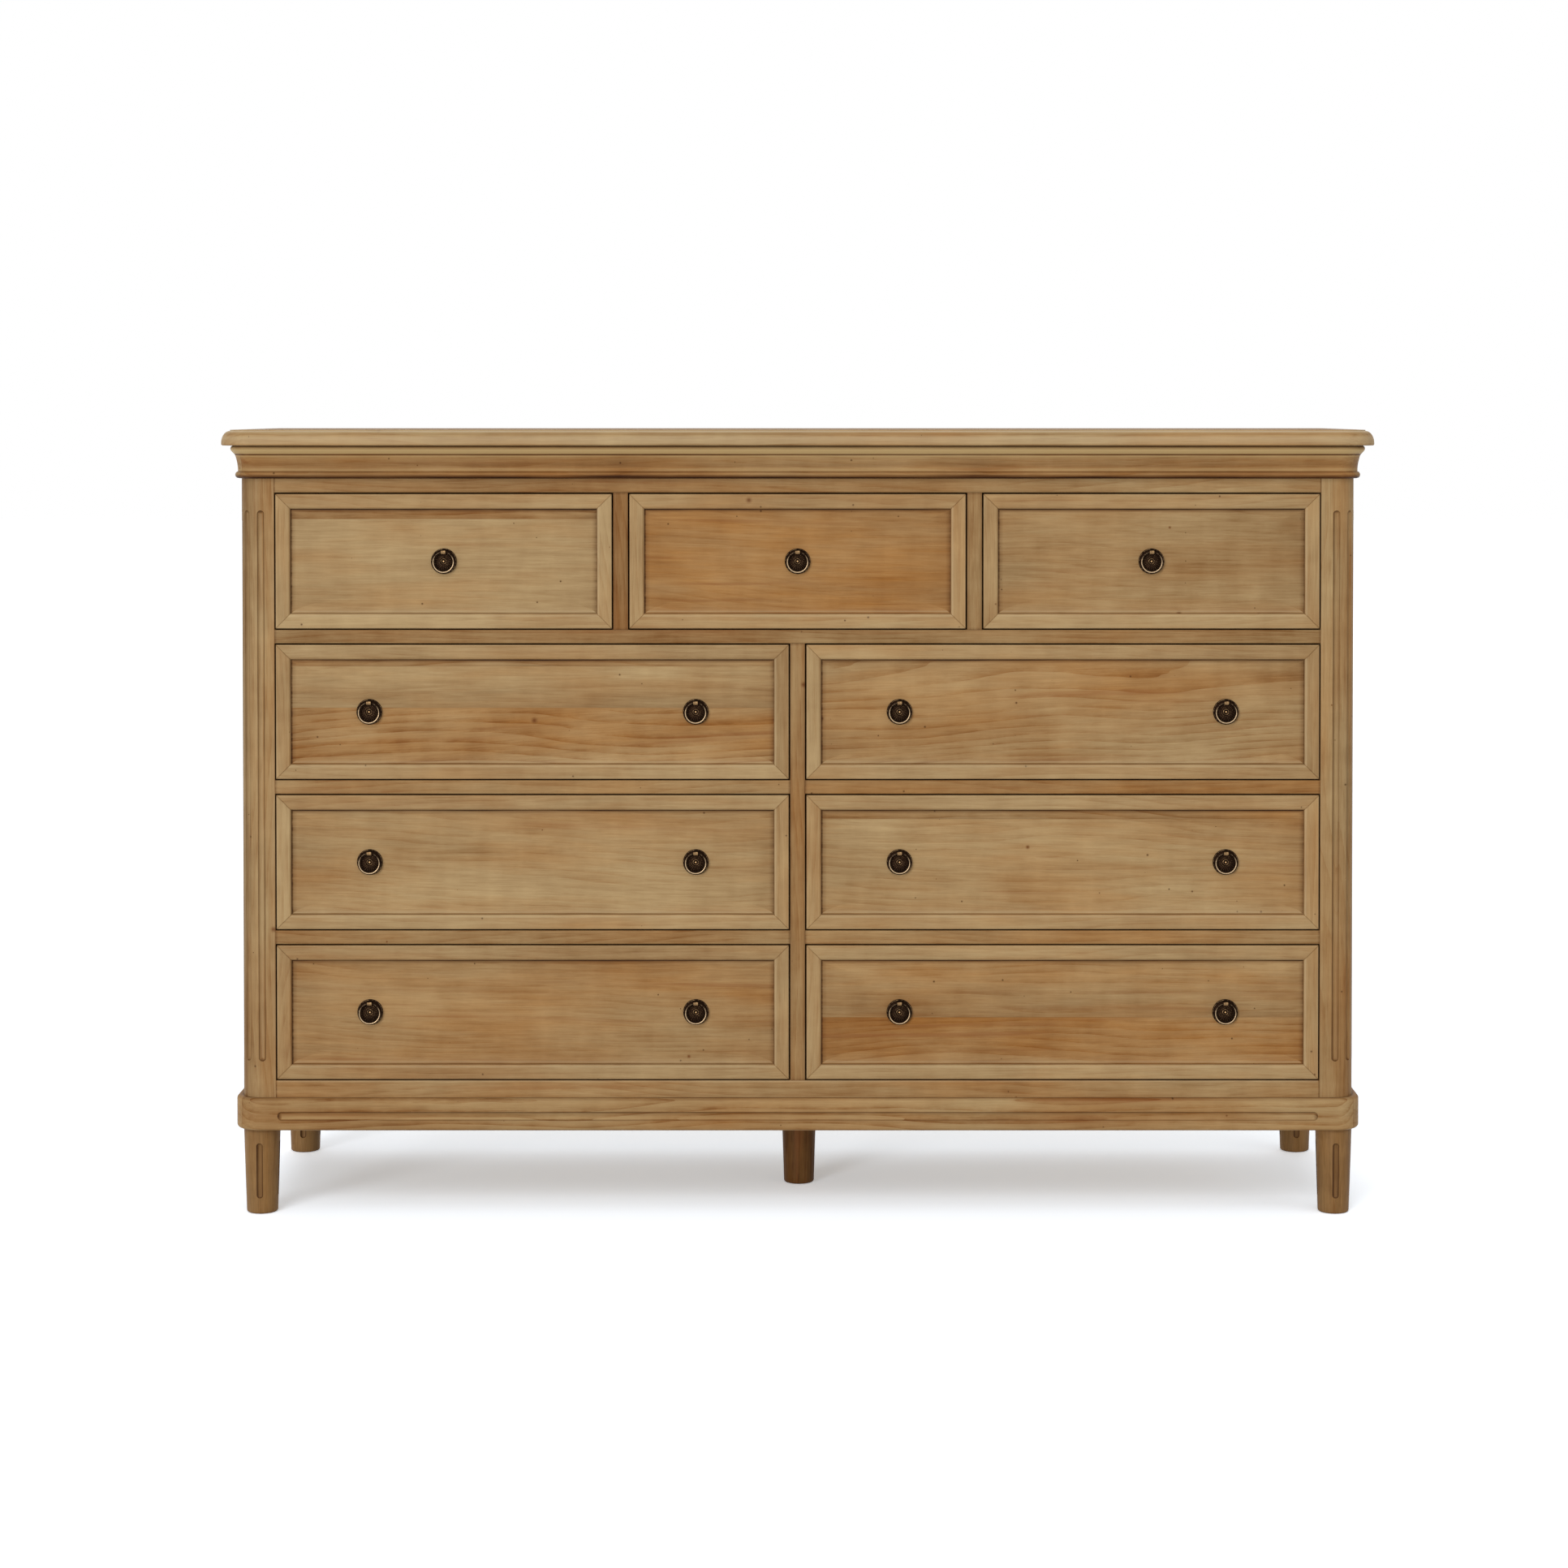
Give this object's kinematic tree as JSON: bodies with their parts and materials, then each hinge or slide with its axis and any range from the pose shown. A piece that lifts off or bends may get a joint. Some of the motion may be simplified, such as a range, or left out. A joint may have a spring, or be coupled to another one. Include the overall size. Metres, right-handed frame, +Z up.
{
  "type": "dresser",
  "caption": "Wide dresser with fluted corner posts, moulded cornice and base, turned legs and framed drawer fronts with bronze ring pulls; drawers slide and rings swing.",
  "frame": {"origin": "on the floor, under the middle of the whole piece", "axes": "+X to the right along the front, +Y towards the back, +Z up; the front faces -Y"},
  "size_m": [1.708, 0.49, 1.1625],
  "materials": {
    "top_wood": "satin waxed",
    "moulding_wood": "satin waxed",
    "post_wood": "satin waxed",
    "side_wood": "satin waxed",
    "back_wood": "plain unfinished",
    "rail_wood": "satin waxed",
    "inner_wood": "plain unfinished",
    "leg_wood": "satin waxed",
    "drawer_front_wood": "satin waxed",
    "drawer_box_wood": "plain unfinished",
    "pull_bronze": "antique dark bronze",
    "ring_bronze": "antique dark bronze"
  },
  "bodies": {
    "case": {"top_panel": "top_wood", "cornice_moulding": "moulding_wood", "base_moulding": "moulding_wood", "front_left_post": "post_wood", "front_right_post": "post_wood", "back_left_post": "post_wood", "back_right_post": "post_wood", "left_side_panel": "side_wood", "right_side_panel": "side_wood", "back_panel": "back_wood", "top_rail": "rail_wood", "row_rails": "rail_wood", "bottom_rail": "rail_wood", "front_dividers": "rail_wood", "runner_frames": "inner_wood", "drawer_guides": "inner_wood", "corner_legs": "leg_wood", "centre_leg": "leg_wood"},
    "top_left_drawer": {"top_left_front": "drawer_front_wood", "top_left_box": "drawer_box_wood", "top_left_plates": "pull_bronze"},
    "top_middle_drawer": {"top_middle_front": "drawer_front_wood", "top_middle_box": "drawer_box_wood", "top_middle_plates": "pull_bronze"},
    "top_right_drawer": {"top_right_front": "drawer_front_wood", "top_right_box": "drawer_box_wood", "top_right_plates": "pull_bronze"},
    "upper_left_drawer": {"upper_left_front": "drawer_front_wood", "upper_left_box": "drawer_box_wood", "upper_left_plates": "pull_bronze"},
    "upper_right_drawer": {"upper_right_front": "drawer_front_wood", "upper_right_box": "drawer_box_wood", "upper_right_plates": "pull_bronze"},
    "lower_left_drawer": {"lower_left_front": "drawer_front_wood", "lower_left_box": "drawer_box_wood", "lower_left_plates": "pull_bronze"},
    "lower_right_drawer": {"lower_right_front": "drawer_front_wood", "lower_right_box": "drawer_box_wood", "lower_right_plates": "pull_bronze"},
    "bottom_left_drawer": {"bottom_left_front": "drawer_front_wood", "bottom_left_box": "drawer_box_wood", "bottom_left_plates": "pull_bronze"},
    "bottom_right_drawer": {"bottom_right_front": "drawer_front_wood", "bottom_right_box": "drawer_box_wood", "bottom_right_plates": "pull_bronze"},
    "top_left_ring_body": {"top_left_ring": "ring_bronze"},
    "top_middle_ring_body": {"top_middle_ring": "ring_bronze"},
    "top_right_ring_body": {"top_right_ring": "ring_bronze"},
    "upper_left_ring_left_body": {"upper_left_ring_left": "ring_bronze"},
    "upper_left_ring_right_body": {"upper_left_ring_right": "ring_bronze"},
    "upper_right_ring_left_body": {"upper_right_ring_left": "ring_bronze"},
    "upper_right_ring_right_body": {"upper_right_ring_right": "ring_bronze"},
    "lower_left_ring_left_body": {"lower_left_ring_left": "ring_bronze"},
    "lower_left_ring_right_body": {"lower_left_ring_right": "ring_bronze"},
    "lower_right_ring_left_body": {"lower_right_ring_left": "ring_bronze"},
    "lower_right_ring_right_body": {"lower_right_ring_right": "ring_bronze"},
    "bottom_left_ring_left_body": {"bottom_left_ring_left": "ring_bronze"},
    "bottom_left_ring_right_body": {"bottom_left_ring_right": "ring_bronze"},
    "bottom_right_ring_left_body": {"bottom_right_ring_left": "ring_bronze"},
    "bottom_right_ring_right_body": {"bottom_right_ring_right": "ring_bronze"}
  },
  "joints": [
    {"name": "top_left_slide", "type": "slide", "parent": "case", "child": "top_left_drawer", "axis": [0, -1, 0], "range_m": [0, 0.32]},
    {"name": "top_middle_slide", "type": "slide", "parent": "case", "child": "top_middle_drawer", "axis": [0, -1, 0], "range_m": [0, 0.32]},
    {"name": "top_right_slide", "type": "slide", "parent": "case", "child": "top_right_drawer", "axis": [0, -1, 0], "range_m": [0, 0.32]},
    {"name": "upper_left_slide", "type": "slide", "parent": "case", "child": "upper_left_drawer", "axis": [0, -1, 0], "range_m": [0, 0.32]},
    {"name": "upper_right_slide", "type": "slide", "parent": "case", "child": "upper_right_drawer", "axis": [0, -1, 0], "range_m": [0, 0.32]},
    {"name": "lower_left_slide", "type": "slide", "parent": "case", "child": "lower_left_drawer", "axis": [0, -1, 0], "range_m": [0, 0.32]},
    {"name": "lower_right_slide", "type": "slide", "parent": "case", "child": "lower_right_drawer", "axis": [0, -1, 0], "range_m": [0, 0.32]},
    {"name": "bottom_left_slide", "type": "slide", "parent": "case", "child": "bottom_left_drawer", "axis": [0, -1, 0], "range_m": [0, 0.32]},
    {"name": "bottom_right_slide", "type": "slide", "parent": "case", "child": "bottom_right_drawer", "axis": [0, -1, 0], "range_m": [0, 0.32]},
    {"name": "top_left_ring_hinge", "type": "hinge", "parent": "top_left_drawer", "child": "top_left_ring_body", "pos_m": [-0.522, -0.2195, 0.98275], "axis": [-1, 0, 0], "range_deg": [0, 100]},
    {"name": "top_middle_ring_hinge", "type": "hinge", "parent": "top_middle_drawer", "child": "top_middle_ring_body", "pos_m": [0, -0.2195, 0.98275], "axis": [-1, 0, 0], "range_deg": [0, 100]},
    {"name": "top_right_ring_hinge", "type": "hinge", "parent": "top_right_drawer", "child": "top_right_ring_body", "pos_m": [0.522, -0.2195, 0.98275], "axis": [-1, 0, 0], "range_deg": [0, 100]},
    {"name": "upper_left_ring_left_hinge", "type": "hinge", "parent": "upper_left_drawer", "child": "upper_left_ring_left_body", "pos_m": [-0.6325, -0.2195, 0.76025], "axis": [-1, 0, 0], "range_deg": [0, 100]},
    {"name": "upper_left_ring_right_hinge", "type": "hinge", "parent": "upper_left_drawer", "child": "upper_left_ring_right_body", "pos_m": [-0.1505, -0.2195, 0.76025], "axis": [-1, 0, 0], "range_deg": [0, 100]},
    {"name": "upper_right_ring_left_hinge", "type": "hinge", "parent": "upper_right_drawer", "child": "upper_right_ring_left_body", "pos_m": [0.1505, -0.2195, 0.76025], "axis": [-1, 0, 0], "range_deg": [0, 100]},
    {"name": "upper_right_ring_right_hinge", "type": "hinge", "parent": "upper_right_drawer", "child": "upper_right_ring_right_body", "pos_m": [0.6325, -0.2195, 0.76025], "axis": [-1, 0, 0], "range_deg": [0, 100]},
    {"name": "lower_left_ring_left_hinge", "type": "hinge", "parent": "lower_left_drawer", "child": "lower_left_ring_left_body", "pos_m": [-0.6325, -0.2195, 0.53775], "axis": [-1, 0, 0], "range_deg": [0, 100]},
    {"name": "lower_left_ring_right_hinge", "type": "hinge", "parent": "lower_left_drawer", "child": "lower_left_ring_right_body", "pos_m": [-0.1505, -0.2195, 0.53775], "axis": [-1, 0, 0], "range_deg": [0, 100]},
    {"name": "lower_right_ring_left_hinge", "type": "hinge", "parent": "lower_right_drawer", "child": "lower_right_ring_left_body", "pos_m": [0.1505, -0.2195, 0.53775], "axis": [-1, 0, 0], "range_deg": [0, 100]},
    {"name": "lower_right_ring_right_hinge", "type": "hinge", "parent": "lower_right_drawer", "child": "lower_right_ring_right_body", "pos_m": [0.6325, -0.2195, 0.53775], "axis": [-1, 0, 0], "range_deg": [0, 100]},
    {"name": "bottom_left_ring_left_hinge", "type": "hinge", "parent": "bottom_left_drawer", "child": "bottom_left_ring_left_body", "pos_m": [-0.6325, -0.2195, 0.31525], "axis": [-1, 0, 0], "range_deg": [0, 100]},
    {"name": "bottom_left_ring_right_hinge", "type": "hinge", "parent": "bottom_left_drawer", "child": "bottom_left_ring_right_body", "pos_m": [-0.1505, -0.2195, 0.31525], "axis": [-1, 0, 0], "range_deg": [0, 100]},
    {"name": "bottom_right_ring_left_hinge", "type": "hinge", "parent": "bottom_right_drawer", "child": "bottom_right_ring_left_body", "pos_m": [0.1505, -0.2195, 0.31525], "axis": [-1, 0, 0], "range_deg": [0, 100]},
    {"name": "bottom_right_ring_right_hinge", "type": "hinge", "parent": "bottom_right_drawer", "child": "bottom_right_ring_right_body", "pos_m": [0.6325, -0.2195, 0.31525], "axis": [-1, 0, 0], "range_deg": [0, 100]}
  ]
}
